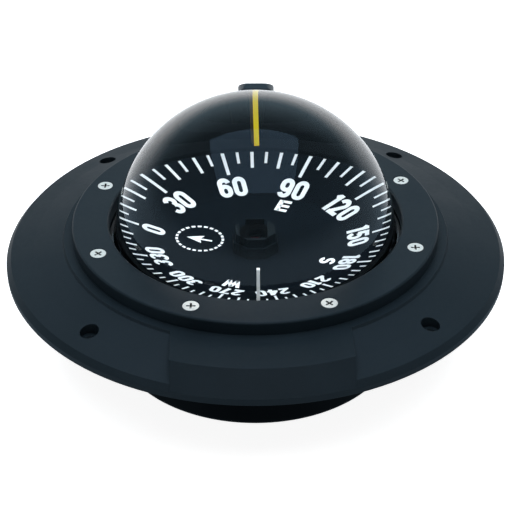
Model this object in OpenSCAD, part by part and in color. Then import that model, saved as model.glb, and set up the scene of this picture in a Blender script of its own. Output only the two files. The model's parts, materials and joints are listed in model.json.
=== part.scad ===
// Flush-mounted binnacle compass: liquid-filled dome on a wide deck flange,
// with a gimballed card, an internal compensator and a rear reading lamp.
// Millimetres. Origin: centre of the deck bolt circle on the flange's underside.
// +Z is up, +Y is forward and the reader looks from -Y.

/* [Flange] */
// Outer radius of the deck flange
flange_r = 115; // [112:0.5:118]
// Height of the flange's vertical rim
flange_rim_h = 2.6; // [2:0.1:3.2]
// Radius of the circle that the four deck bolts stand on
bolt_circle_r = 102.3; // [101:0.1:103.5]
// Diameter of a deck bolt's hole
bolt_hole_d = 4.8; // [4:0.1:5.5]
// Diameter of the pocket for a deck bolt's head
bolt_head_d = 8.2; // [7.5:0.1:9]
// Half the width of the raised pad at the front
pad_half_w = 38; // [30:1:45]

/* [Bezel] */
// Outer radius of the clamping bezel
bezel_r = 84; // [83:0.1:85]
// Inner radius of the clamping bezel
bezel_in_r = 67.3; // [66.8:0.1:68]
// Height of the bezel over the flange
bezel_h = 6.2; // [5.4:0.1:7]
// Number of bezel screws
bezel_screws_n = 8; // [8, 12, 16]

/* [Dome] */
// Outer radius of the clear hemisphere
dome_r = 64.4; // [63.8:0.1:64.6]
// Wall of the dome
dome_wall = 3; // [2.4:0.1:3.2]

/* [Card] */
// Radius of the compass card
card_r = 45.4; // [44.6:0.1:45.8]
// Height of the card's rim over the deck
card_rim_z = 6.2; // [5.8:0.1:6.4]
// Rise of the card's raised rim for each millimetre of radius
card_slope = 0.18; // [0.12:0.01:0.2]
// Bearing that stands under the fore lubber line
heading = 69.5; // [0:0.5:359.5]

/* [Case] */
// Outer radius of the lower case
case_r = 68.2; // [67.6:0.1:68.6]
// Depth of the lower case below the deck
case_depth = 49.7; // [49.4:0.1:51]
// Wall of the lower case
case_wall = 2.2; // [1.8:0.1:2.4]

/* [Hidden] */

$fn = 96;
EPS = 1;                        // how far a cutter runs past the face it opens

// Flange: heights of its stepped and coned top
plateau_z = 12.3;
plateau_r = 88.2;
shoulder_z = 2.7;               // seat of the bowl's flange
recess_r = 73.6;                // well for the bowl's and dome's flanges
bore_r = 69.3;
bolt_floor_z = 3.4;
bolt_top_z = 7.5;
pad_r = 106.5;                    // where the pad's top ends and its front face falls away
pocket_in_r = 76.5;
pocket_out_r = 92.5;
gasket_in_r = 106;
gasket_out_r = 111;
gasket_h = 2;

// Bezel
bezel_z = plateau_z;
bezel_top_z = bezel_z + bezel_h;
bezel_screw_r = 76.3;
bezel_screw_head_d = 7.1;
bezel_screw_shank_d = 3.4;
bezel_screw_tip_z = 3;
bezel_gasket_h = 0.8;

// Dome and its flange
dome_z = 10.8;                  // height of the dome's widest circle
dome_in_r = dome_r - dome_wall;
dome_flange_r = 73;
dome_flange_z = 7.5;
dome_flange_top = bezel_z - bezel_gasket_h;

// Bowl
bowl_in_r = 60.2;
bowl_wall = 2.4;
bowl_flange_r = 73.3;
bowl_floor_z = -27;             // upper face of the floor
bowl_floor_h = 3;
bowl_under_z = bowl_floor_z - bowl_floor_h;
seal_r = 66.5;
seal_d = 2.6;
post_r = 52;                    // radius that the case posts stand on
post_d = 9;

// Expansion diaphragm and its clamp
port_r = 20;
diaphragm_r = 28;
diaphragm_h = 1.2;
clamp_h = 2.2;
clamp_screw_r = 24.6;
clamp_screws_n = 8;
clamp_under_z = bowl_under_z - diaphragm_h - clamp_h;

// Filling plug
plug_y = 44;
plug_thread_d = 8;
plug_head_d = 12;
washer_h = 1;

// Lower case
case_in_r = case_r - case_wall;
case_bottom_h = 2.5;
case_floor_z = -case_depth + case_bottom_h;
gland_z = -40;
gland_turn = 135;               // direction of the cable entry, from +X
gland_bore_d = 5;

// Compensator: two crossed rods with cross magnets
rod_d = 4.8;
rod_clearance = 0.05;
upper_rod_z = -38.3;            // runs fore and aft
lower_rod_z = -43.9;            // runs athwartships
rod_block_mid = 20;             // distance of a bearing block from the centre
rod_block_t = 5;
rod_shoulder_d = 6;
rod_magnet_off = 8;
rod_magnet_d = 1.8;
access_d = 6.4;
bracket_plate_h = 1.5;

// Lamp on the rear of the bezel
lamp_w = 17.2;
lamp_gap = 1;                   // air between the dome and the lamp housing
lamp_foot_z = bezel_top_z + 0.2;
lamp_screw_x = 5;
lamp_screw_y = 74.6;
wire_y = 76.8;
wire_d = 3.6;
window_z = 44;
window_tilt = 30;               // how far the lamp looks down towards the card
fore_turn = 2.1;                // lamp and fore lubber stand this far clockwise of +Y

// Gimbal: both axes pass through this height
gimbal_z = 1.5;
gimbal_pin_d = 2.4;
pin_clearance = 0.05;
ring_in_r = 53.4;
ring_out_r = 55.4;
ring_h = 6;
rim_in_r = 46.4;                // rim of the gimballed cup
rim_out_r = 49.4;
rim_top_z = 6.4;
cup_floor_z = -13.5;
cup_under_z = -16;
weight_r = 14;
weight_h = 5;

// Lubber lines
fore_lubber_y = 47;
fore_lubber_top = 24;
fore_lubber_lean = 1.5;         // it stands a little out of upright
aft_lubber_y = 46.6;
aft_lubber_x = -0.2;
aft_lubber_top = 22.5;

// Card, float, magnets and hub
card_t = 0.8;
card_in_r = 7;
card_flat_r = 30;               // the card is flat up to here and rises outside it
float_r = 24;
float_in_r = 5.2;
float_wall = 1;
float_under_z = -5;
card_magnet_len = 30;
card_magnet_w = 3.5;
card_magnet_off = 9;
hub_top_z = 10.8;
hub_step_z = 7.5;
jewel_d = 4.8;
jewel_z = 4.4;
pin_tip_z = 5.2;

black = [0.13, 0.15, 0.17];
dark = [0.05, 0.055, 0.06];
rubber = [0.08, 0.08, 0.08];
steel = [0.85, 0.85, 0.82];
brass = [0.78, 0.62, 0.3];

// Height of the card's upper face at a radius
function card_z(r) = card_rim_z - (card_r - max(r, card_flat_r)) * card_slope;

// Quarter circle of the dome from an angle over its widest circle to its pole
function dome_arc(r, from, n = 40) =
    [for (i = [0:n]) let(a = from + (90 - from) * i / n) [r * cos(a), dome_z + r * sin(a)]];

function reversed(list) = [for (i = [len(list) - 1:-1:0]) list[i]];

// Distance of the dome's outside, plus a gap, from the axis at a height
function dome_out(z, gap) = sqrt(pow(dome_r + gap, 2) - pow(z - dome_z, 2));

// Quarter round between two straight edges
function corner(x, y, r, from, n = 6) =
    [for (i = [0:n]) let(a = from + 90 * i / n) [x + r * cos(a), y + r * sin(a)]];

// Flat ring standing on z = 0
module ring(r_out, r_in, h) {
    rotate_extrude() translate([r_in, 0]) square([r_out - r_in, h]);
}

// Copies its child n times round the axis, the first at an angle from -Y
module around(n, first) {
    for (i = [0:n - 1]) rotate([0, 0, first + 360 * i / n - 90]) children();
}

// Crosses of a Phillips recess, sunk from z = 0
module cross_recess(w, depth) {
    for (a = [0, 90]) rotate([0, 0, a]) translate([-w / 2, -w / 9, -depth]) cube([w, w / 4.5, depth + EPS]);
}

// Countersunk screw, the top of its head at z = 0 and its point down
module countersunk_screw(head_d, shank_d, len) {
    head_h = (head_d - shank_d) / 2;
    difference() {
        union() {
            translate([0, 0, -head_h]) cylinder(d1 = shank_d, d2 = head_d, h = head_h);
            translate([0, 0, -len + shank_d]) cylinder(d = shank_d, h = len - shank_d - head_h);
            translate([0, 0, -len]) cylinder(d1 = shank_d / 4, d2 = shank_d, h = shank_d);
        }
        cross_recess(head_d * 0.56, head_h * 0.7);
    }
}

// Pan-head screw, its seat at z = 0, the head below and the shank above
module pan_screw_up(head_d, shank_d, len, head_h) {
    difference() {
        union() {
            translate([0, 0, -head_h]) cylinder(d1 = head_d * 0.86, d2 = head_d, h = head_h);
            cylinder(d = shank_d, h = len);
        }
        translate([0, 0, -head_h]) mirror([0, 0, 1]) cross_recess(head_d * 0.6, head_h * 0.6);
    }
}

// Turns the lamp's parts and the fore lubber line to their place
module turned_fore() {
    rotate([0, 0, -fore_turn]) children();
}

module flange_solid() {
    rotate_extrude() polygon([
        [bore_r, 0], [flange_r, 0], [flange_r, flange_rim_h],
        [flange_r - 2.2, flange_rim_h + 2.6], [bolt_circle_r, bolt_top_z],
        [plateau_r + 0.6, 11], [plateau_r, plateau_z], [bore_r, plateau_z]]);
}

module front_pad() {
    intersection() {
        rotate_extrude() polygon([
            [bore_r, 0], [flange_r, 0], [flange_r, 3], [pad_r, plateau_z], [bore_r, plateau_z]]);
        translate([-pad_half_w, -flange_r - EPS, 0]) cube([2 * pad_half_w, flange_r, plateau_z]);
    }
}

module flange_pocket() {
    rotate_extrude() polygon([
        [pocket_in_r, -EPS], [pocket_out_r, -EPS], [pocket_out_r, 6.4],
        [plateau_r, 8.6], [pocket_in_r, 8.6]]);
}

module flange_ribs() {
    rib_w = 2.2;
    around(16, 11.25) translate([pocket_in_r - 1, -rib_w / 2, 0.6]) cube([18.4, rib_w, 8.4]);
}

module mounting_flange() {
    color(black) difference() {
        union() {
            difference() {
                union() {
                    flange_solid();
                    front_pad();
                }
                flange_pocket();
            }
            flange_ribs();
            around(bezel_screws_n, 22.5) translate([bezel_screw_r, 0, 0.6]) cylinder(r = 4.2, h = 9);
        }
        translate([0, 0, shoulder_z]) cylinder(r = recess_r, h = plateau_z);
        translate([0, 0, -EPS]) cylinder(r = bore_r, h = plateau_z);
        translate([0, 0, -EPS]) ring(gasket_out_r, gasket_in_r, gasket_h + EPS);
        around(bezel_screws_n, 22.5) translate([bezel_screw_r, 0, 1.8])
            cylinder(d = bezel_screw_shank_d + 0.1, h = plateau_z);
        around(4, 45) translate([bolt_circle_r, 0, -EPS]) cylinder(d = bolt_hole_d, h = plateau_z);
        around(4, 45) translate([bolt_circle_r, 0, bolt_floor_z]) cylinder(d = bolt_head_d, h = plateau_z);
        turned_fore() translate([0, wire_y, 7]) cylinder(d = wire_d, h = plateau_z);
    }
}

module deck_gasket() {
    color(rubber) ring(gasket_out_r - 0.1, gasket_in_r + 0.1, gasket_h);
}

module bezel_ring() {
    edge = 0.9;
    outer = corner(bezel_r - edge, bezel_top_z - edge, edge, 0);
    color(black) difference() {
        rotate_extrude() polygon(concat(
            [[bezel_in_r, bezel_z], [bezel_r, bezel_z]], outer,
            [[bezel_in_r + 0.7, bezel_top_z + 0.2], [bezel_in_r, bezel_top_z - 0.4]]));
        around(bezel_screws_n, 22.5) translate([bezel_screw_r, 0, bezel_z - EPS])
            cylinder(d = bezel_screw_shank_d + 0.4, h = bezel_h + 2 * EPS);
        around(bezel_screws_n, 22.5) translate([bezel_screw_r, 0, bezel_top_z - 2])
            cylinder(d1 = bezel_screw_shank_d + 0.4, d2 = bezel_screw_head_d + 1.1, h = 2.3);
        turned_fore() {
            for (x = [-lamp_screw_x, lamp_screw_x]) translate([x, lamp_screw_y, 0]) {
                cylinder(d = 2.6, h = bezel_top_z + EPS);
                cylinder(d = 5, h = bezel_z + 2.2);
            }
            translate([0, wire_y, 0]) cylinder(d = wire_d, h = bezel_top_z + EPS);
        }
    }
}

module bezel_gasket() {
    color(rubber) translate([0, 0, dome_flange_top]) ring(dome_flange_r, bezel_in_r + 0.2, bezel_gasket_h);
}

module bezel_screws() {
    top = bezel_top_z - 0.05;
    color(steel) around(bezel_screws_n, 22.5) translate([bezel_screw_r, 0, top])
        rotate([0, 0, 20])
            countersunk_screw(bezel_screw_head_d, bezel_screw_shank_d, top - bezel_screw_tip_z);
}

module dome() {
    color([0.8, 0.88, 0.92, 0.25]) rotate_extrude() polygon(concat(
        dome_arc(dome_r, 2),
        reversed(dome_arc(dome_in_r, 0)),
        [[dome_in_r, dome_flange_z], [dome_flange_r, dome_flange_z],
         [dome_flange_r, dome_flange_top], [dome_r + 1.2, dome_flange_top]]));
}

module dome_seal() {
    color(rubber) translate([0, 0, dome_flange_z - seal_d / 2])
        rotate_extrude() translate([seal_r, 0]) circle(d = seal_d, $fn = 32);
}

module bowl() {
    out_r = bowl_in_r + bowl_wall;
    groove_w = seal_d + 0.6;
    color(dark) difference() {
        union() {
            rotate_extrude() polygon([
                [port_r, bowl_under_z], [out_r - 3, bowl_under_z], [out_r, bowl_under_z + 3],
                [out_r, shoulder_z], [bowl_flange_r, shoulder_z], [bowl_flange_r, dome_flange_z],
                [bowl_in_r, dome_flange_z], [bowl_in_r, bowl_floor_z + 3],
                [bowl_in_r - 3, bowl_floor_z], [port_r, bowl_floor_z]]);
            for (s = [-1, 1]) translate([0, s * (bowl_in_r + EPS), gimbal_z]) rotate([s * 90, 0, 0])
                cylinder(d = 7, h = bowl_in_r + EPS - ring_out_r - 0.6);
            around(4, 45) translate([post_r, 0, case_floor_z])
                cylinder(d = post_d, h = bowl_floor_z - case_floor_z - EPS);
        }
        translate([0, 0, dome_flange_z - seal_d])
            ring(seal_r + groove_w / 2, seal_r - groove_w / 2, seal_d + EPS);
        for (s = [-1, 1]) translate([0, s * (ring_out_r - EPS), gimbal_z]) rotate([-s * 90, 0, 0])
            cylinder(d = gimbal_pin_d, h = 5.4);
        around(clamp_screws_n, 22.5) translate([clamp_screw_r, 0, bowl_under_z - EPS])
            cylinder(d = 2.4, h = 2.2 + EPS);
        around(4, 45) translate([post_r, 0, case_floor_z - EPS]) cylinder(d = 3, h = 11);
        translate([0, plug_y, bowl_under_z - EPS]) cylinder(d = plug_thread_d, h = bowl_floor_h + 2 * EPS);
    }
}

module diaphragm() {
    z = bowl_under_z - diaphragm_h;
    color(rubber) difference() {
        rotate_extrude() polygon([
            [0, z + 2], [6, z + 2], [8, z], [11, z], [13, z + 2], [16, z + 2], [18, z], [diaphragm_r, z],
            [diaphragm_r, z + diaphragm_h], [18.6, z + diaphragm_h], [16.6, z + 2 + diaphragm_h],
            [12.4, z + 2 + diaphragm_h], [10.4, z + diaphragm_h], [8.6, z + diaphragm_h],
            [6.6, z + 2 + diaphragm_h], [0, z + 2 + diaphragm_h]]);
        around(clamp_screws_n, 22.5) translate([clamp_screw_r, 0, z - EPS])
            cylinder(d = 2.6, h = diaphragm_h + 2 * EPS);
    }
}

module diaphragm_ring() {
    color(brass) difference() {
        translate([0, 0, clamp_under_z]) ring(diaphragm_r, port_r, clamp_h);
        around(clamp_screws_n, 22.5) translate([clamp_screw_r, 0, clamp_under_z - EPS])
            cylinder(d = 2.6, h = clamp_h + 2 * EPS);
    }
}

module diaphragm_screws() {
    color(steel) around(clamp_screws_n, 22.5) translate([clamp_screw_r, 0, clamp_under_z])
        pan_screw_up(4.6, 2.4, clamp_h + diaphragm_h + 2, 1.7);
}

module fill_plug() {
    color(brass) translate([0, plug_y, bowl_under_z - washer_h]) difference() {
        union() {
            cylinder(d = plug_thread_d - 0.1, h = washer_h + bowl_floor_h);
            translate([0, 0, -3]) cylinder(d = plug_head_d, h = 3);
        }
        translate([-4, -0.8, -3 - EPS]) cube([8, 1.6, 1.4 + EPS]);
    }
}

module fill_washer() {
    color(rubber) translate([0, plug_y, bowl_under_z - washer_h])
        ring(plug_head_d / 2 + 0.5, plug_thread_d / 2, washer_h);
}

module lower_case() {
    edge = 2.5;
    color(dark) difference() {
        rotate_extrude() polygon(concat(
            [[0, -case_depth]], corner(case_r - edge, -case_depth + edge, edge, -90),
            [[case_r, shoulder_z], [case_in_r, shoulder_z], [case_in_r, case_floor_z + 1.5],
             [case_in_r - 1.5, case_floor_z], [0, case_floor_z]]));
        around(4, 45) translate([post_r, 0, -case_depth - EPS]) {
            cylinder(d = 3.4, h = case_bottom_h + 2 * EPS);
            cylinder(d1 = 9, d2 = 3.4, h = 2.8);
        }
        translate([0, case_in_r - 4, upper_rod_z]) rotate([-90, 0, 0]) cylinder(d = access_d, h = 10);
        translate([case_in_r - 4, 0, lower_rod_z]) rotate([0, 90, 0]) cylinder(d = access_d, h = 10);
        rotate([0, 0, gland_turn]) translate([case_in_r - 4, 0, gland_z]) rotate([0, 90, 0])
            cylinder(d = 8, h = 10);
        for (s = [-1, 1]) rotate([0, 0, 45]) translate([s * rod_block_mid, 0, case_floor_z - 1.8])
            cylinder(d = 2, h = case_bottom_h);
    }
}

module case_screws() {
    color(steel) around(4, 45) translate([post_r, 0, -case_depth + 0.2]) mirror([0, 0, 1])
        countersunk_screw(6.6, 2.9, 12);
}

module cable_grommet() {
    color(rubber) rotate([0, 0, gland_turn]) translate([case_in_r - 1.6, 0, gland_z]) rotate([0, 90, 0])
        difference() {
            union() {
                cylinder(d = 11, h = 1.3);
                cylinder(d = 8, h = case_wall + 1.6);
                translate([0, 0, case_wall + 1.6]) cylinder(d1 = 12, d2 = 10, h = 2);
            }
            translate([0, 0, -EPS]) cylinder(d = gland_bore_d, h = 8);
        }
}

// Bearing blocks of one rod, along X, on the case floor
module rod_blocks(z) {
    h = z - case_floor_z + rod_d / 2 + 1.4;
    for (s = [-1, 1]) translate([s * rod_block_mid - rod_block_t / 2, -4.5, case_floor_z])
        cube([rod_block_t, 9, h]);
}

module compensator_bracket() {
    color([0.2, 0.2, 0.22]) difference() {
        union() {
            translate([0, 0, case_floor_z]) ring(26, 18, bracket_plate_h);
            rotate([0, 0, 90]) rod_blocks(upper_rod_z);
            rod_blocks(lower_rod_z);
        }
        translate([-40, 0, lower_rod_z]) rotate([0, 90, 0]) cylinder(d = rod_d + 2 * rod_clearance, h = 80);
        translate([0, 40, upper_rod_z]) rotate([90, 0, 0]) cylinder(d = rod_d + 2 * rod_clearance, h = 80);
        for (s = [-1, 1]) rotate([0, 0, 45]) translate([s * rod_block_mid, 0, case_floor_z - EPS])
            cylinder(d = 2.2, h = bracket_plate_h + 2 * EPS);
    }
}

module bracket_screws() {
    color(steel) for (s = [-1, 1]) rotate([0, 0, 45])
        translate([s * rod_block_mid, 0, case_floor_z + bracket_plate_h]) mirror([0, 0, 1])
            pan_screw_up(4, 2, bracket_plate_h + 1.6, 1.3);
}

// Compensator rod along X with its slotted end at +X
module compensator_rod() {
    difference() {
        union() {
            translate([-24.5, 0, 0]) rotate([0, 90, 0]) cylinder(d = rod_d, h = 24.5 + case_r - 1.2);
            for (x = [-rod_block_mid + rod_block_t / 2 + 0.3, rod_block_mid - rod_block_t / 2 - 2.3])
                translate([x, 0, 0]) rotate([0, 90, 0]) cylinder(d = rod_shoulder_d, h = 2);
        }
        translate([case_r - 3.4, -0.5, -rod_d]) cube([4, 1, 2 * rod_d]);
        for (x = [-rod_magnet_off, rod_magnet_off]) translate([x, 0, -rod_d])
            cylinder(d = rod_magnet_d, h = 2 * rod_d);
    }
}

module compensator_magnets() {
    for (x = [-rod_magnet_off, rod_magnet_off]) translate([x, 0, -rod_d / 2 + 0.2])
        cylinder(d = rod_magnet_d, h = rod_d - 0.4);
}

module fore_aft_rod() {
    color(brass) translate([0, 0, upper_rod_z]) rotate([0, 0, 90]) compensator_rod();
}

module fore_aft_magnets() {
    color("gray") translate([0, 0, upper_rod_z]) rotate([0, 0, 90]) compensator_magnets();
}

module athwart_rod() {
    color(brass) translate([0, 0, lower_rod_z]) compensator_rod();
}

module athwart_magnets() {
    color("gray") translate([0, 0, lower_rod_z]) compensator_magnets();
}

// Side outline of the lamp housing, Y across and Z up
function lamp_outline() = concat(
    [[68.2, lamp_foot_z], [68.2, lamp_foot_z + 1]],
    [for (z = [22:4:54]) [dome_out(z, lamp_gap), z]],
    [[51.5, 57.4], [55.6, 58], [60.2, 54.2], [64.6, 48.8], [72.4, 38], [79.6, 27.5], [82.5, 21.5],
     [82.5, lamp_foot_z]]);

// Hollow of the lamp housing, in the same plane
function lamp_hollow() = concat(
    [for (z = [25.4:3.7:47.6]) [dome_out(z, lamp_gap + 2.4), z]],
    [[55, 53.6], [57.8, 53.6], [62, 47.6], [69.8, 36.8], [77.4, 25.4]]);

module lamp_housing() {
    top_z = 58;
    corner_r = 5;
    half_w = lamp_w / 2;
    turned_fore() color(black) difference() {
        intersection() {
            rotate([90, 0, 90]) translate([0, 0, -half_w]) linear_extrude(lamp_w) polygon(lamp_outline());
            translate([0, 90, 0]) rotate([90, 0, 0]) linear_extrude(60) polygon(concat(
                [[-half_w, 0], [half_w, 0]], corner(half_w - corner_r, top_z - corner_r, corner_r, 0),
                corner(-half_w + corner_r, top_z - corner_r, corner_r, 90)));
        }
        rotate([90, 0, 90]) translate([0, 0, -5.5]) linear_extrude(11) polygon(lamp_hollow());
        lamp_window(8.2, 5.2, 5);
        for (x = [-lamp_screw_x, lamp_screw_x]) translate([x, lamp_screw_y, lamp_foot_z - EPS])
            cylinder(d = 2.4, h = 6 + EPS);
        translate([0, wire_y, lamp_foot_z - EPS]) cylinder(d = wire_d, h = 9.2);
    }
}

// Puts its child on the axis of the lamp's light, +Y pointing out of the housing
module on_window() {
    translate([0, dome_out(window_z, lamp_gap), window_z]) rotate([window_tilt, 0, 0]) children();
}

module lamp_window(w, h, t) {
    on_window() translate([-w / 2, -0.6, -h / 2]) cube([w, t, h]);
}

module lamp_lens() {
    turned_fore() color([0.8, 0.1, 0.08, 0.6]) on_window() translate([-4, 0.2, -2.5]) cube([8, 1.6, 5]);
}

module lamp_board() {
    turned_fore() color("darkgreen") on_window() translate([-4.6, 5.2, -2.6]) cube([9.2, 0.8, 4.6]);
}

module lamp_led() {
    turned_fore() color([0.9, 0.15, 0.1]) on_window() translate([0, 5.2, 0]) rotate([90, 0, 0]) {
        cylinder(d = 3.6, h = 0.8);
        cylinder(d = 3, h = 1.7);
        translate([0, 0, 1.7]) sphere(d = 3, $fn = 48);
    }
}

module lamp_screws() {
    turned_fore() color(steel) for (x = [-lamp_screw_x, lamp_screw_x])
        translate([x, lamp_screw_y, bezel_z + 2.2]) pan_screw_up(4.4, 2.3, 9, 1.8);
}

module roll_pins() {
    color(steel) for (s = [-1, 1]) translate([0, s * (ring_in_r + 0.3), gimbal_z]) rotate([-s * 90, 0, 0])
        cylinder(d = gimbal_pin_d, h = 6);
}

module gimbal_ring() {
    color(dark) difference() {
        translate([0, 0, gimbal_z - ring_h / 2]) ring(ring_out_r, ring_in_r, ring_h);
        for (a = [0, 90, 180, 270]) rotate([0, 0, a]) translate([ring_in_r - 2, 0, gimbal_z])
            rotate([0, 90, 0]) cylinder(d = gimbal_pin_d + 2 * pin_clearance, h = 5);
    }
}

module pitch_pins() {
    color(steel) for (s = [-1, 1]) translate([s * (ring_out_r - 0.2), 0, gimbal_z]) rotate([0, -s * 90, 0])
        cylinder(d = gimbal_pin_d, h = 8);
}

module gimbal_cup() {
    color(dark) difference() {
        union() {
            rotate_extrude() polygon([
                [0, cup_under_z], [20, cup_under_z], [46.5, -3], [rim_out_r, 0], [rim_out_r, rim_top_z],
                [rim_in_r, rim_top_z], [rim_in_r, 1], [44.5, -1.5], [19, cup_floor_z], [0, cup_floor_z]]);
            for (s = [-1, 1]) translate([s * (rim_in_r + 0.8), 0, gimbal_z]) rotate([0, s * 90, 0])
                cylinder(d = 6.4, h = ring_in_r - 0.5 - rim_in_r - 0.8);
        }
        for (s = [-1, 1]) translate([s * (ring_out_r - 8.2), 0, gimbal_z]) rotate([0, s * 90, 0])
            cylinder(d = gimbal_pin_d, h = 8.2);
        translate([0, 0, cup_under_z - EPS]) cylinder(d = 4, h = 6);
        around(8, 22.5) translate([32, 0, -20]) cylinder(d = 7, h = 20);
    }
}

module gimbal_weight() {
    color(brass) difference() {
        translate([0, 0, cup_under_z - weight_h]) cylinder(r = weight_r, h = weight_h);
        translate([0, 0, cup_under_z - weight_h - EPS]) cylinder(d = 4.2, h = weight_h + 2 * EPS);
        translate([0, 0, cup_under_z - weight_h - EPS]) cylinder(d = 8.4, h = 2.2 + EPS);
    }
}

module weight_screw() {
    color(steel) translate([0, 0, cup_under_z - weight_h + 2.2]) pan_screw_up(7.6, 4, 7.9, 2);
}

module pivot_post() {
    color(brass) difference() {
        union() {
            translate([0, 0, cup_floor_z]) cylinder(d = 12, h = 2);
            translate([0, 0, cup_floor_z + 2]) cylinder(d = 6, h = 9.5);
            translate([0, 0, cup_floor_z + 11.5]) cylinder(d1 = 6, d2 = 3, h = 2);
        }
        translate([0, 0, -6]) cylinder(d = 1.8, h = 8);
        translate([0, 0, cup_floor_z - EPS]) cylinder(d = 4, h = 3 + EPS);
    }
}

module pivot_pin() {
    color(steel) {
        translate([0, 0, -6]) cylinder(d = 1.8, h = pin_tip_z + 4.4);
        translate([0, 0, pin_tip_z - 1.6]) cylinder(d1 = 1.8, d2 = 0.2, h = 1.6);
    }
}

module fore_lubber() {
    h = fore_lubber_top - rim_top_z;
    turned_fore() color([0.96, 0.86, 0.18]) translate([0, fore_lubber_y, rim_top_z])
        rotate([0, -fore_lubber_lean, 0])
            linear_extrude(h) polygon([[-0.65, 0], [0.65, 0], [0.5, 1.5], [-1.45, 1.5]]);
}

module aft_lubber() {
    w = 1.3;
    depth = 1.8;
    color([0.85, 0.85, 0.83]) translate([aft_lubber_x - w / 2, -aft_lubber_y - depth, rim_top_z])
        cube([w, depth, aft_lubber_top - rim_top_z]);
}

// Everything on the card is turned to the heading
module on_card() {
    rotate([0, 0, heading]) children();
}

module compass_card() {
    color([0.06, 0.065, 0.07]) rotate_extrude() polygon([
        [card_in_r, card_z(card_in_r) - card_t], [card_flat_r, card_z(card_flat_r) - card_t],
        [card_r, card_z(card_r) - card_t], [card_r, card_z(card_r)],
        [card_flat_r, card_z(card_flat_r)], [card_in_r, card_z(card_in_r)]]);
}

module card_float() {
    top = card_z(float_in_r) - card_t - 0.1;
    lip = card_z(float_r - float_wall) - card_t - 0.05;
    color([0.2, 0.2, 0.2]) rotate_extrude() polygon([
        [float_in_r, float_under_z], [float_r, float_under_z], [float_r, lip], [float_r - float_wall, lip],
        [float_r - float_wall, float_under_z + float_wall],
        [float_in_r + float_wall, float_under_z + float_wall],
        [float_in_r + float_wall, top], [float_in_r, top]]);
}

module card_magnets() {
    color("gray") on_card() for (s = [-1, 1])
        translate([s * card_magnet_off, 0, float_under_z - card_magnet_w])
            translate([-card_magnet_w / 2, -card_magnet_len / 2, 0]) cube([card_magnet_w, card_magnet_len, card_magnet_w]);
}

// Two-tier octagonal hub with an off-centre well over the jewel
module card_hub() {
    seat_z = card_z(card_in_r) - card_t;
    low_z = card_z(card_in_r) + 0.3;
    sight_z = hub_top_z - 4;
    color([0.08, 0.085, 0.09]) difference() {
        union() {
            translate([0, 0, seat_z]) cylinder(r = card_in_r - 0.05, h = hub_step_z - seat_z - 0.5);
            translate([0, 0, low_z]) rotate([0, 0, 22.5]) cylinder(d = 15.8, h = hub_step_z - low_z, $fn = 8);
            translate([0, 0, hub_step_z - 0.2]) rotate([0, 0, 22.5])
                cylinder(d = 14.1, h = hub_top_z - hub_step_z + 0.2, $fn = 8);
        }
        translate([-5.2, -5.2, hub_top_z - 2]) cube([9.2, 11.4, 3]);
        translate([0.5, 0, sight_z]) cylinder(d = 6.2, h = 3);
        translate([0, 0, seat_z - EPS]) cylinder(d = jewel_d, h = sight_z - seat_z + 2 * EPS);
    }
}

module jewel_cup() {
    color([0.7, 0.1, 0.25]) difference() {
        translate([0, 0, jewel_z]) cylinder(d = jewel_d, h = 2);
        translate([0, 0, jewel_z - EPS]) cylinder(d1 = 4.4, d2 = 0.5, h = 2);
    }
}

mounting_flange();
deck_gasket();
bezel_ring();
bezel_gasket();
bezel_screws();
dome();
dome_seal();
bowl();
diaphragm();
diaphragm_ring();
diaphragm_screws();
fill_plug();
fill_washer();
lower_case();
case_screws();
cable_grommet();
compensator_bracket();
bracket_screws();
fore_aft_rod();
fore_aft_magnets();
athwart_rod();
athwart_magnets();
lamp_housing();
lamp_lens();
lamp_board();
lamp_led();
lamp_screws();
roll_pins();
gimbal_ring();
pitch_pins();
gimbal_cup();
gimbal_weight();
weight_screw();
pivot_post();
pivot_pin();
fore_lubber();
aft_lubber();
compass_card();
card_float();
card_magnets();
card_hub();
jewel_cup();
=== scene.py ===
import json
import math

import bmesh
import bpy
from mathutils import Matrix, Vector


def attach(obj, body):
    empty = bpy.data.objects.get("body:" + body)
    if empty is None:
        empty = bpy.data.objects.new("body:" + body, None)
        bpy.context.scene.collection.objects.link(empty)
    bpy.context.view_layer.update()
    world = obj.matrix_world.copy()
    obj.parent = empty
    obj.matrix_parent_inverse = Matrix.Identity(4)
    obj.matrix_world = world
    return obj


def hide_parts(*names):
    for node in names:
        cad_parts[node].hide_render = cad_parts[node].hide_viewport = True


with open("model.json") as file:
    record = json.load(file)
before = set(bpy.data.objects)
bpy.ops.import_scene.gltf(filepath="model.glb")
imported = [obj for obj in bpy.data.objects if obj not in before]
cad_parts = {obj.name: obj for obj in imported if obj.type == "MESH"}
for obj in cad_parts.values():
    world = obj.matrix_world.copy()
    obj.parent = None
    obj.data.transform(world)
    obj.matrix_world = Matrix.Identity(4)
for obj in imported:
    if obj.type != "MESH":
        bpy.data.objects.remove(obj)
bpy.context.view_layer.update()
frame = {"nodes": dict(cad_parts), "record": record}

MM = 0.001

# ---------------------------------------------------------------- shared sizes in millimetres, as in the CAD
HEADING = 69.5          # bearing under the fore lubber line, in degrees
CARD_R = 45.4
CARD_FLAT_R = 30.0      # the card is flat inside this radius
CARD_RIM_Z = 6.2
CARD_SLOPE = 0.18       # rise per millimetre of radius outside the flat
DOME_R = 64.4
DOME_Z = 10.8           # height of the dome's centre
DOME_FLANGE_Z = (7.5, 11.5)
HUB_TOP_Z = 10.8
HUB_WELL_X = (-5.2, 4.0)
HUB_WELL_Y = (-5.2, 6.2)


def card_z(r):
    """Height of the card's upper face at a radius, in millimetres."""
    return CARD_RIM_Z - (CARD_R - max(r, CARD_FLAT_R)) * CARD_SLOPE


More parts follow.
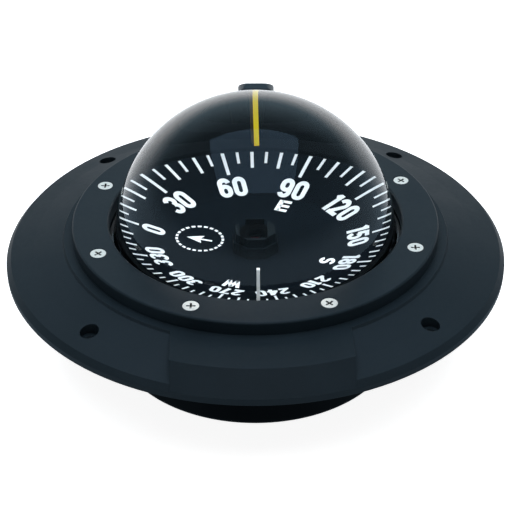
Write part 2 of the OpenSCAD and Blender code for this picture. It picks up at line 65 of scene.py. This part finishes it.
# ---------------------------------------------------------------- material tools
class Tree:
    """A material and short ways to add nodes to it."""

    def __init__(self, name):
        self.mat = bpy.data.materials.new(name)
        self.mat.use_nodes = True
        self.nt = self.mat.node_tree
        self.nt.nodes.clear()
        self.out = self.nt.nodes.new("ShaderNodeOutputMaterial")

    def node(self, kind, **inputs):
        n = self.nt.nodes.new("ShaderNode" + kind)
        for key, value in inputs.items():
            if hasattr(n, key):
                setattr(n, key, value)
            else:
                self.put(n.inputs[key.replace("_", " ")], value)
        return n

    def put(self, socket, value):
        if isinstance(value, bpy.types.NodeSocket):
            self.nt.links.new(value, socket)
        elif isinstance(value, bpy.types.Node):
            self.nt.links.new(value.outputs[0], socket)
        elif hasattr(value, "__len__") and len(value) == 3 and socket.type == "RGBA":
            socket.default_value = (*value, 1)
        else:
            socket.default_value = value

    def coords(self):
        return self.node("TexCoord").outputs["Object"]

    def noise(self, scale, detail=2.0, rough=0.5):
        noise = self.node("TexNoise", Vector=self.coords(), Scale=scale, Detail=detail, Roughness=rough)
        return noise.outputs["Fac"]

    def spread(self, value, low, high, to_low, to_high):
        """A value's range from low to high, clamped and mapped to another range."""
        n = self.node("MapRange")
        self.put(n.inputs[0], value)
        for i, v in enumerate((low, high, to_low, to_high)):
            n.inputs[i + 1].default_value = v
        return n.outputs[0]

    def mixed(self, factor, a, b):
        n = self.nt.nodes.new("ShaderNodeMix")
        n.data_type = "RGBA"
        self.put(n.inputs[0], factor)
        self.put(n.inputs[6], a)
        self.put(n.inputs[7], b)
        return n.outputs[2]

    def maths(self, operation, a, b=0.0):
        n = self.nt.nodes.new("ShaderNodeMath")
        n.operation = operation
        self.put(n.inputs[0], a)
        self.put(n.inputs[1], b)
        return n.outputs[0]

    def edges(self, radius):
        """From 0 on flat faces to 1 on a sharp edge, and the rounded normal."""
        bevel = self.node("Bevel", samples=4, Radius=radius)
        flat = self.node("NewGeometry").outputs["Normal"]
        dot = self.nt.nodes.new("ShaderNodeVectorMath")
        dot.operation = "DOT_PRODUCT"
        self.put(dot.inputs[0], bevel.outputs[0])
        self.put(dot.inputs[1], flat)
        return self.spread(dot.outputs["Value"], 1.0, 0.86, 0.0, 1.0), bevel.outputs[0]

    def bump(self, height, strength, distance, normal=None):
        n = self.node("Bump", Height=height, Strength=strength, Distance=distance)
        if normal is not None:
            self.put(n.inputs["Normal"], normal)
        return n.outputs[0]

    def finish(self, shader):
        self.put(self.out.inputs["Surface"], shader)
        return self.mat


def plastic(name, colour, rough=0.5, wear=0.25, spec=0.5):
    """Moulded plastic: fine spark grain, uneven gloss, edges that are slightly rubbed."""
    edge_r, grain_size, grain_height = 0.35 * MM, 0.35 * MM, 0.025 * MM
    t = Tree(name)
    worn, rounded = t.edges(edge_r)
    cloud = t.noise(45, 4)
    grains = t.noise(1 / grain_size, 2, 0.6)
    scuffs = t.noise(420, 6, 0.7)
    body = t.mixed(t.spread(cloud, 0.35, 0.65, 0, 1), [c * 0.88 for c in colour], [c * 1.12 for c in colour])
    body = t.mixed(t.spread(grains, 0.52, 0.72, 0, 0.5), body, [c * 1.7 for c in colour])
    rubbed = t.maths("MULTIPLY", worn, t.spread(scuffs, 0.4, 0.62, 0.1, wear))
    base = t.mixed(rubbed, body, [min(1, c * 1.8 + 0.012) for c in colour])
    unevenness = t.maths("ADD", cloud, t.maths("MULTIPLY", scuffs, 0.6))
    gloss = t.spread(unevenness, 0.55, 1.05, rough - 0.05, rough + 0.06)
    shader = t.node("BsdfPrincipled", Base_Color=base, Roughness=gloss,
                    Normal=t.bump(grains, 0.6, grain_height, rounded))
    shader.inputs["Specular IOR Level"].default_value = spec
    return t.finish(shader.outputs[0])


def rubber(name, colour):
    """Moulded rubber with a little pale dust."""
    t = Tree(name)
    fine = t.noise(2600, 3, 0.6)
    dust = t.noise(160, 4)
    base = t.mixed(t.spread(dust, 0.45, 0.75, 0, 0.4), colour, [c * 2 + 0.01 for c in colour])
    shader = t.node("BsdfPrincipled", Base_Color=base,
                    Roughness=t.spread(dust, 0.3, 0.7, 0.67, 0.85),
                    Normal=t.bump(fine, 0.5, 0.02 * MM))
    return t.finish(shader.outputs[0])


def metal(name, colour, rough=0.3, tarnish=0.3, solid=1.0, painted_shade_reach=0.0):
    """Turned or pressed metal with tool marks, small stains, bright edges and, when given an occlusion reach,
    painted shade that darkens its hollows.
    """
    t = Tree(name)
    worn, rounded = t.edges(0.15 * MM)
    stain = t.noise(700, 5, 0.6)
    marks = t.noise(3800, 2)
    base = t.mixed(t.spread(stain, 0.42, 0.7, 0, tarnish), colour, [c * 0.55 for c in colour])
    base = t.mixed(t.maths("MULTIPLY", worn, 0.5), base, [min(1, c * 1.15) for c in colour])
    if painted_shade_reach:
        # Painted shade: ambient occlusion darkens the colour in hollows such as the screws' crosses.
        painted_hollow_shade = t.node("AmbientOcclusion", samples=8, Distance=painted_shade_reach * MM).outputs["AO"]
        base = t.mixed(t.spread(painted_hollow_shade, 0.45, 0.85, 0.0, 1.0), [c * 0.04 for c in colour], base)
    shader = t.node("BsdfPrincipled", Base_Color=base, Metallic=solid,
                    Roughness=t.spread(stain, 0.3, 0.7, rough - 0.06, rough + 0.12),
                    Normal=t.bump(marks, 0.4, 0.004 * MM, rounded))
    return t.finish(shader.outputs[0])


def paint(name, colour, rough=0.4, wear=0.15, spec=0.5):
    """Enamel or ink over plastic, a little uneven, with specks of what lies under it."""
    under = (0.25, 0.22, 0.18)
    t = Tree(name)
    cloud = t.noise(300, 4)
    speck = t.noise(2600, 3, 0.7)
    base = t.mixed(t.spread(cloud, 0.35, 0.65, 0, 1), [c * 0.94 for c in colour], colour)
    base = t.mixed(t.spread(speck, 0.68, 0.8, 0, wear), base, under)
    shader = t.node("BsdfPrincipled", Base_Color=base,
                    Roughness=t.spread(cloud, 0.3, 0.7, rough - 0.06, rough + 0.08),
                    Normal=t.bump(speck, 0.3, 0.004 * MM))
    shader.inputs["Specular IOR Level"].default_value = spec
    return t.finish(shader.outputs[0])


def lubber_paint():
    """Yellow on the face that is read, with a faint painted glow; the sides get a dark brown that is painted
    shade.
    """
    t = Tree("lubber_yellow")
    speck = t.noise(1800, 3, 0.6)
    facing = t.node("SeparateXYZ", Vector=t.node("NewGeometry").outputs["Normal"]).outputs["Y"]
    # Painted shade: faces that don't face -Y get a dark brown, a shaded copy of the yellow.
    side = t.spread(facing, -0.9, -0.75, 0.0, 1.0)
    yellow = t.mixed(t.spread(speck, 0.55, 0.8, 0, 0.3), (1.0, 0.74, 0.015), (0.75, 0.5, 0.02))
    painted_side_shade = t.mixed(t.spread(speck, 0.4, 0.7, 0, 1), (0.10, 0.062, 0.016), (0.07, 0.045, 0.014))
    shader = t.node("BsdfPrincipled", Base_Color=t.mixed(side, yellow, painted_side_shade),
                    # Painted light: the yellow face glows a little although it is no lamp.
                    Emission_Color=t.mixed(side, (1.0, 0.72, 0.02), (0, 0, 0)), Emission_Strength=0.2,
                    Roughness=t.spread(speck, 0.3, 0.7, 0.45, 0.6), Normal=t.bump(speck, 0.3, 0.004 * MM))
    shader.inputs["Specular IOR Level"].default_value = 0.1
    return t.finish(shader.outputs[0])


def hub_plastic():
    """Satin black with a paler top that is painted light, and a well painted near black as painted shade."""
    soft = 0.1
    t = Tree("hub_black")
    axes = t.node("SeparateXYZ", Vector=t.coords())
    # Painted shade: the well inside the given bounds is painted near black.
    painted_well_shade = t.spread(axes.outputs["Z"], (HUB_TOP_Z - soft) * MM, (HUB_TOP_Z - soft / 2) * MM, 1.0, 0.0)
    for axis, (low, high) in (("X", HUB_WELL_X), ("Y", HUB_WELL_Y)):
        place = axes.outputs[axis]
        over = t.spread(place, (low - 2 * soft) * MM, (low - soft) * MM, 0.0, 1.0)
        under = t.spread(place, (high + soft) * MM, (high + 2 * soft) * MM, 1.0, 0.0)
        painted_well_shade = t.maths("MULTIPLY", t.maths("MULTIPLY", painted_well_shade, over), under)
    # Painted light: the top face is painted paler than the sides.
    painted_top_light = t.spread(axes.outputs["Z"], (HUB_TOP_Z - 2 * soft) * MM, (HUB_TOP_Z - soft) * MM, 0.0, 1.0)
    fine = t.noise(900, 4, 0.6)
    base = t.mixed(painted_top_light, (0.0024, 0.0040, 0.0054), (0.0062, 0.0086, 0.0100))
    base = t.mixed(painted_well_shade, base, (0.0001, 0.0001, 0.0001))
    shader = t.node("BsdfPrincipled", Base_Color=base, Roughness=t.spread(fine, 0.3, 0.7, 0.6, 0.75),
                    Normal=t.bump(fine, 0.4, 0.01 * MM))
    shader.inputs["Specular IOR Level"].default_value = 0.03
    return t.finish(shader.outputs[0])


def clear(name, tint, ior, rough=0.0):
    """Clear glass or plastic that lets lamps through to what lies behind it."""
    t = Tree(name)
    shader = t.node("BsdfPrincipled")
    shader.inputs["Base Color"].default_value = (*tint, 1)
    shader.inputs["Roughness"].default_value = rough
    shader.inputs["IOR"].default_value = ior
    shader.inputs["Transmission Weight"].default_value = 1.0
    through = t.node("BsdfTransparent")
    through.inputs["Color"].default_value = (*tint, 1)
    mix = t.nt.nodes.new("ShaderNodeMixShader")
    t.put(mix.inputs[0], t.node("LightPath").outputs["Is Shadow Ray"])
    t.put(mix.inputs[1], shader.outputs[0])
    t.put(mix.inputs[2], through.outputs[0])
    return t.finish(mix.outputs[0])


MATERIALS = {
    "flange_plastic": plastic("flange_plastic", (0.0056, 0.0092, 0.0118), rough=0.55, wear=0.08, spec=0.3),
    "bezel_plastic": plastic("bezel_plastic", (0.0049, 0.0086, 0.0113), rough=0.5, wear=0.1, spec=0.32),
    "case_plastic": plastic("case_plastic", (0.0006, 0.001, 0.0013), rough=0.6, wear=0.1, spec=0.05),
    "inner_plastic": plastic("inner_plastic", (0.0012, 0.0018, 0.0022), rough=0.7, wear=0.05, spec=0.05),
    "seal_rubber": rubber("seal_rubber", (0.012, 0.012, 0.012)),
    "diaphragm_rubber": rubber("diaphragm_rubber", (0.02, 0.018, 0.017)),
    "clear_acrylic": clear("clear_acrylic", (0.97, 0.985, 0.99), 1.405),
    # The screws get painted shade in their cross recesses.
    "screw_steel": metal("screw_steel", (0.98, 0.95, 0.86), rough=0.38, solid=0.55, painted_shade_reach=1.2),
    "pin_steel": metal("pin_steel", (0.66, 0.67, 0.68), rough=0.25),
    "magnet_steel": metal("magnet_steel", (0.30, 0.30, 0.31), rough=0.5, tarnish=0.5),
    "brass": metal("brass", (0.72, 0.53, 0.24), rough=0.3, tarnish=0.45),
    "lamp_plastic": plastic("lamp_plastic", (0.011, 0.018, 0.023), rough=0.45, spec=0.4),
    "red_lens": clear("red_lens", (0.55, 0.03, 0.02), 1.5, 0.05),
    "board_green": plastic("board_green", (0.02, 0.12, 0.05), rough=0.4),
    "led_red": paint("led_red", (0.6, 0.05, 0.04), rough=0.15),
    "lubber_yellow": lubber_paint(),
    "lubber_white": paint("lubber_white", (0.93, 0.93, 0.91), rough=0.5, spec=0.1),
    "card_black": plastic("card_black", (0.0013, 0.0027, 0.0043), rough=0.7, wear=0.05, spec=0.03),
    "float_plastic": plastic("float_plastic", (0.012, 0.012, 0.012), rough=0.7, wear=0.1, spec=0.1),
    "hub_black": hub_plastic(),
    "jewel": paint("jewel", (0.02, 0.004, 0.006), rough=0.2, spec=0.1),
}
PRINT = paint("card_ink", (0.92, 0.94, 0.94), rough=0.6, wear=0.05, spec=0.05)

slot_of = {p["node"]: p["material_slot"] for p in frame["record"]["subparts"]}
for node, obj in frame["nodes"].items():
    obj.data.materials.clear()
    obj.data.materials.append(MATERIALS[slot_of[node]])


# ---------------------------------------------------------------- mesh tools
def piece(name, verts, faces, body, material, smooth=True):
    """A visible object that rides on a body, from vertices in millimetres."""
    mesh = bpy.data.meshes.new(name)
    mesh.from_pydata([Vector(v) * MM for v in verts], [], faces)
    mesh.update()
    obj = bpy.data.objects.new(name, mesh)
    bpy.context.scene.collection.objects.link(obj)
    mesh.materials.append(material)
    for p in mesh.polygons:
        p.use_smooth = smooth
    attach(obj, body)
    return obj


def lathe(profile, steps):
    """Vertices and faces of (radius, height) points turned about Z. A radius of 0 is a pole."""
    verts, rows = [], []
    for r, z in profile:
        if r < 1e-6:
            rows.append([len(verts)])
            verts.append((0, 0, z))
        else:
            rows.append(list(range(len(verts), len(verts) + steps)))
            verts += [(r * math.cos(2 * math.pi * i / steps), r * math.sin(2 * math.pi * i / steps), z)
                      for i in range(steps)]
    faces = []
    for a, b in zip(rows, rows[1:]):
        for i in range(steps):
            j = (i + 1) % steps
            if len(a) == 1:
                faces.append((a[0], b[i], b[j]))
            elif len(b) == 1:
                faces.append((a[i], b[0], a[j]))
            else:
                faces.append((a[i], b[i], b[j], a[j]))
    return verts, faces


# ---------------------------------------------------------------- dome and its liquid
DOME_FLANGE_R = 72.9    # 0.1 mm less than in the CAD
LIQUID_R = 60.5         # the liquid's skin is sunk 0.3 mm into the bowl's wall
LIQUID_FLOOR_Z = -27.1  # and 0.1 mm into its floor
LIQUID_FLOOR_R = 57.2
LIQUID_CORNER_Z = -23.6
DOME_FOOT = 88          # degrees from the top to the foot of the arc
CHAMFER_R = 65.6        # where the foot of the dome meets its flange
SMOOTH_Z = 12.7         # the faces above this height belong to the dome's arc


def dome_profile():
    """The dome's outside, its flange, and the liquid's outside in the bowl."""
    rings = 90
    angles = (math.radians(DOME_FOOT) * i / rings for i in range(rings + 1))
    arc = [(DOME_R * math.sin(a), DOME_Z + DOME_R * math.cos(a)) for a in angles]
    low, high = DOME_FLANGE_Z
    flange = [(CHAMFER_R, high), (DOME_FLANGE_R, high), (DOME_FLANGE_R, low), (LIQUID_R, low)]
    liquid = [(LIQUID_R, LIQUID_CORNER_Z), (LIQUID_FLOOR_R, LIQUID_FLOOR_Z), (0, LIQUID_FLOOR_Z)]
    return arc + flange + liquid


def dome_and_liquid():
    """One clear solid, because the liquid bends light nearly as much as the dome's wall does."""
    verts, faces = lathe(dome_profile(), 256)
    dome = piece("dome_and_liquid", verts, faces, "housing", MATERIALS["clear_acrylic"])
    bm = bmesh.new()
    bm.from_mesh(dome.data)
    bmesh.ops.recalc_face_normals(bm, faces=bm.faces)
    bm.to_mesh(dome.data)
    bm.free()
    for p in dome.data.polygons:
        p.use_smooth = p.center.z / MM > SMOOTH_Z
    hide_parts("dome")


dome_and_liquid()


# ---------------------------------------------------------------- print on the card
TICK_OUT = 45.1
INK = 0.06              # how far the print stands over the card
HALF_STROKE = 0.73      # half the width of a character's stroke
GAP = 0.45              # between the strokes of neighbouring characters


def on_card(bearing, across, radius, lift):
    """A point of the print: across is to the right of someone who looks outward along the bearing."""
    a = math.radians(bearing - HEADING)
    x = math.sin(a) * radius + math.cos(a) * across
    y = math.cos(a) * radius - math.sin(a) * across
    return x, y, card_z(math.hypot(x, y)) + lift


def add_prism(verts, faces, outline, bearing):
    """A thin raised polygon, given by its (across, radius) corners."""
    n, base = len(outline), len(verts)
    for lift in (INK, -INK):
        verts.extend(on_card(bearing, u, r, lift) for u, r in outline)
    faces.append(tuple(base + i for i in range(n))[::-1])
    faces.append(tuple(base + n + i for i in range(n)))
    for i in range(n):
        j = (i + 1) % n
        faces.append((base + i, base + j, base + n + j, base + n + i))


def ticks():
    """A tick every 5 degrees, longer at tens and longest at each numeral."""
    verts, faces = [], []
    for bearing in range(0, 360, 5):
        inner, half = 41.6, 0.38
        if bearing % 10 == 0:
            inner, half = 40.0, 0.43
        if bearing % 30 == 0:
            inner, half = 38.0, 0.47
        add_prism(verts, faces, [(-half, inner), (half, inner), (half, TICK_OUT), (-half, TICK_OUT)], bearing)
    piece("card_ticks", verts, faces, "card", PRINT, smooth=False)


def ribbon(verts, faces, points, place, closed):
    """A flat stroke of even width along a line of points."""
    n, base = len(points), len(verts)
    for i in range(n):
        before = points[i] - points[i - 1] if i or closed else points[1] - points[0]
        after = points[(i + 1) % n] - points[i] if i < n - 1 or closed else before
        along = (before.normalized() + after.normalized()).normalized()
        reach = HALF_STROKE / max(0.6, along.dot(after.normalized()))
        side = Vector((-along.y, along.x)) * reach
        for s, lift in ((-1, INK), (1, INK), (1, -INK), (-1, -INK)):
            verts.append(place(*(points[i] + side * s), lift))
    for i in range(n if closed else n - 1):
        a, b = base + 4 * i, base + 4 * ((i + 1) % n)
        faces += [(a + k, b + k, b + (k + 1) % 4, a + (k + 1) % 4) for k in range(4)]
    if not closed:
        last = base + 4 * (n - 1)
        faces += [(base, base + 1, base + 2, base + 3), (last + 3, last + 2, last + 1, last)]


def bow(x, y, rx, ry, start, end):
    """Points along part of an ellipse, by angles in degrees from +X."""
    n = 14
    steps = (math.radians(start + (end - start) * i / n) for i in range(n + 1))
    return [(x + rx * math.cos(a), y + ry * math.sin(a)) for a in steps]


# Middle lines of the characters in millimetres: (width, strokes), each stroke with True where it closes
TALL, MID = 5.85, 1.3
SIX = bow(MID, 4.4, MID, 1.45, 15, 180)
SIX += bow(MID, 1.5, MID, 1.5, 180, 360)
SIX += bow(MID, 2.05, MID, 1.45, 0, 165)
NINE = [(2 * MID - x, TALL - y) for x, y in SIX]
GLYPHS = {
    "0": (2.6, [(bow(MID, 4.4, MID, 1.45, 0, 180) + bow(MID, 1.45, MID, 1.45, 180, 360), True)]),
    "1": (1.1, [([(1.1, 6.5), (1.1, -0.65)], False), ([(0.9, 5.9), (-0.1, 4.9)], False)]),
    "2": (2.6, [(bow(MID, 4.45, MID, 1.4, 170, -30) + [(0.25, 0.3)], False), ([(-0.6, 0), (3.2, 0)], False)]),
    "3": (2.6, [(bow(1.25, 4.5, 1.3, 1.35, 165, -85), False),
                (bow(1.25, 1.55, 1.35, 1.55, 85, -165), False)]),
    "4": (2.8, [([(2.0, 6.5), (2.0, -0.65)], False), ([(1.7, 6.0), (0, 1.8)], False),
                ([(-0.6, 1.5), (3.4, 1.5)], False)]),
    "5": (2.6, [([(3.0, 5.85), (0.4, 5.85), (0.2, 2.9)], False),
                (bow(1.25, 1.75, 1.35, 1.75, 140, -165), False)]),
    "6": (2.6, [(SIX, False)]),
    "7": (2.5, [([(-0.6, 5.85), (2.5, 5.85), (0.8, -0.6)], False)]),
    "8": (2.6, [(bow(MID, 4.45, 1.2, 1.4, 0, 345), True), (bow(MID, 1.55, 1.35, 1.5, 0, 345), True)]),
    "9": (2.6, [(NINE, False)]),
    "E": (2.7, [([(0, -0.65), (0, 6.5)], False)] + [([(0.1, y), (3.2, y)], False) for y in (0, 2.95, 5.85)]),
    "S": (2.8, [(bow(1.4, 4.4, 1.4, 1.45, 20, 250) + bow(1.4, 1.5, 1.4, 1.5, 70, -160), False)]),
    "W": (5.0, [([(-0.3, 6.5), (1.0, -0.2)], False), ([(1.0, -0.2), (2.5, 6.2)], False),
                ([(2.5, 6.2), (4.0, -0.2)], False), ([(4.0, -0.2), (5.3, 6.5)], False)]),
}


def print_words(name, words, radius, wide, high):
    """Words on the card with their tops outward, each centred on its bearing."""
    verts, faces = [], []
    for bearing, text in words:
        room = 2 * HALF_STROKE + GAP
        across = -(sum(GLYPHS[c][0] + room for c in text) - room) / 2
        for c in text:
            width, strokes = GLYPHS[c]

            def place(u, v, lift, across=across):
                return on_card(bearing, (across + u) * wide, radius + (v - TALL / 2) * high, lift)
            for line, closed in strokes:
                ribbon(verts, faces, [Vector(p) for p in line], place, closed)
            across += width + room
    piece(name, verts, faces, "card", PRINT, smooth=False)


def north_mark():
    """A generic mark: a ring of dashes with an arrow that points outward."""
    middle, ring_r, half_dash, half_line = 18.6, 7.3, 4.5, 0.4
    verts, faces = [], []
    for turn in range(0, 360, 15):
        a0, a1 = (math.radians(turn + side) for side in (-half_dash, half_dash))
        corners = [(math.sin(a) * r, middle + math.cos(a) * r) for a, r in
                   ((a0, ring_r - half_line), (a1, ring_r - half_line),
                    (a1, ring_r + half_line), (a0, ring_r + half_line))]
        add_prism(verts, faces, corners, 0)
    head = [(0, 4.2), (-2.2, -1.0), (0, -0.1), (2.2, -1.0)]
    shaft = [(-0.35, -4), (0.35, -4), (0.35, 0), (-0.35, 0)]
    for outline in (head, shaft):
        add_prism(verts, faces, [(across, middle + up) for across, up in outline], 0)
    piece("card_north_mark", verts, faces, "card", PRINT, smooth=False)


ticks()
print_words("card_numerals", [(b, str(b)) for b in range(0, 360, 30)], 33.3, 0.95, 1.0)
print_words("card_letters", [(90, "E"), (180, "S"), (270, "W")], 25.6, 0.95, 0.76)
north_mark()


# ---------------------------------------------------------------- stage
FLOOR_Z = -49.75 * MM
FLOOR_HALF = 30         # metres


def floor_white():
    """White paper that also glows, so that it stays white round the object's shadow."""
    t = Tree("floor_white")
    white = t.node("BsdfDiffuse", Color=(0.8, 0.8, 0.8, 1))
    glow = t.node("Emission", Color=(1, 1, 1, 1), Strength=0.9)
    both = t.node("AddShader")
    t.put(both.inputs[0], white.outputs[0])
    t.put(both.inputs[1], glow.outputs[0])
    return t.finish(both.outputs[0])


def floor():
    """A level square that lights nothing and shows in no reflection."""
    corners = [(x * FLOOR_HALF, y * FLOOR_HALF, FLOOR_Z) for x, y in ((-1, -1), (1, -1), (1, 1), (-1, 1))]
    mesh = bpy.data.meshes.new("floor")
    mesh.from_pydata(corners, [], [(0, 1, 2, 3)])
    mesh.materials.append(floor_white())
    obj = bpy.data.objects.new("floor", mesh)
    bpy.context.scene.collection.objects.link(obj)
    obj.visible_diffuse = False
    obj.visible_glossy = False


def studio_sky():
    """A dim room with a bright backdrop behind the object."""
    world = bpy.data.worlds.new("studio")
    bpy.context.scene.world = world
    world.use_nodes = True
    t = Tree("unused")
    bpy.data.materials.remove(t.mat)
    t.nt = world.node_tree
    axes = t.node("SeparateXYZ", Vector=t.node("TexCoord").outputs["Generated"])
    high = t.spread(axes.outputs["Z"], 0.08, 0.34, 0.0, 1.0)
    front = t.spread(axes.outputs["Y"], 0.88, 0.55, 0.0, 1.0)
    panels = t.mixed(front, (1.3, 1.35, 1.4), (0.38, 0.53, 0.66))
    ceiling = t.mixed(front, (0.43, 0.63, 0.76), (0.15, 0.23, 0.29))
    colour = t.mixed(high, panels, ceiling)
    t.put(world.node_tree.nodes["Background"].inputs["Color"], colour)
    world.node_tree.nodes["Background"].inputs["Strength"].default_value = 1.0
    world.cycles_visibility.diffuse = False


def softbox(name, place, power, colour=(1, 1, 1)):
    """A square lamp of 1.6 m that faces the origin."""
    lamp = bpy.data.lights.new(name, "AREA")
    lamp.shape = "RECTANGLE"
    lamp.size, lamp.size_y = 1.6, 1.6
    lamp.energy = power
    lamp.color = colour
    obj = bpy.data.objects.new(name, lamp)
    bpy.context.scene.collection.objects.link(obj)
    obj.location = place
    obj.rotation_euler = (-Vector(place)).to_track_quat("-Z", "Y").to_euler()
    return obj


floor()
studio_sky()
# The overhead lamp shows as a faint blue square in the dome. The fills only light matt surfaces.
softbox("overhead", (0, 0, 1.45), 7.5, (0.4, 0.66, 1.0))
for name, place, power in (("fill_top", (0, -0.2, 1.5), 26.5), ("fill_left", (-1.5, -0.9, 0.9), 2.5),
                           ("fill_right", (1.5, -0.9, 0.9), 2.5)):
    softbox(name, place, power).visible_glossy = False

bpy.context.scene.view_settings.view_transform = "Standard"

# ---------------------------------------------------------------- camera
ELEVATION, AZIMUTH, ROLL = 33.59, 1.53, -0.25       # degrees
DISTANCE = 0.695
TARGET = Vector((-0.0002, 0, -0.0034))


def camera():
    """Looks down at the object from the front, a little to the left of it."""
    up, round_z = math.radians(ELEVATION), math.radians(AZIMUTH)
    back = Vector((-math.sin(round_z) * math.cos(up), -math.cos(round_z) * math.cos(up), math.sin(up)))
    obj = bpy.data.objects.new("camera", bpy.data.cameras.new("camera"))
    bpy.context.scene.collection.objects.link(obj)
    obj.location = TARGET + DISTANCE * back
    obj.rotation_euler = (TARGET - obj.location).to_track_quat("-Z", "Y").to_euler()
    obj.rotation_euler.rotate_axis("Z", math.radians(ROLL))
    obj.data.sensor_width = 36
    obj.data.lens = 104.7
    obj.data.clip_start = 0.01
    bpy.context.scene.camera = obj


camera()
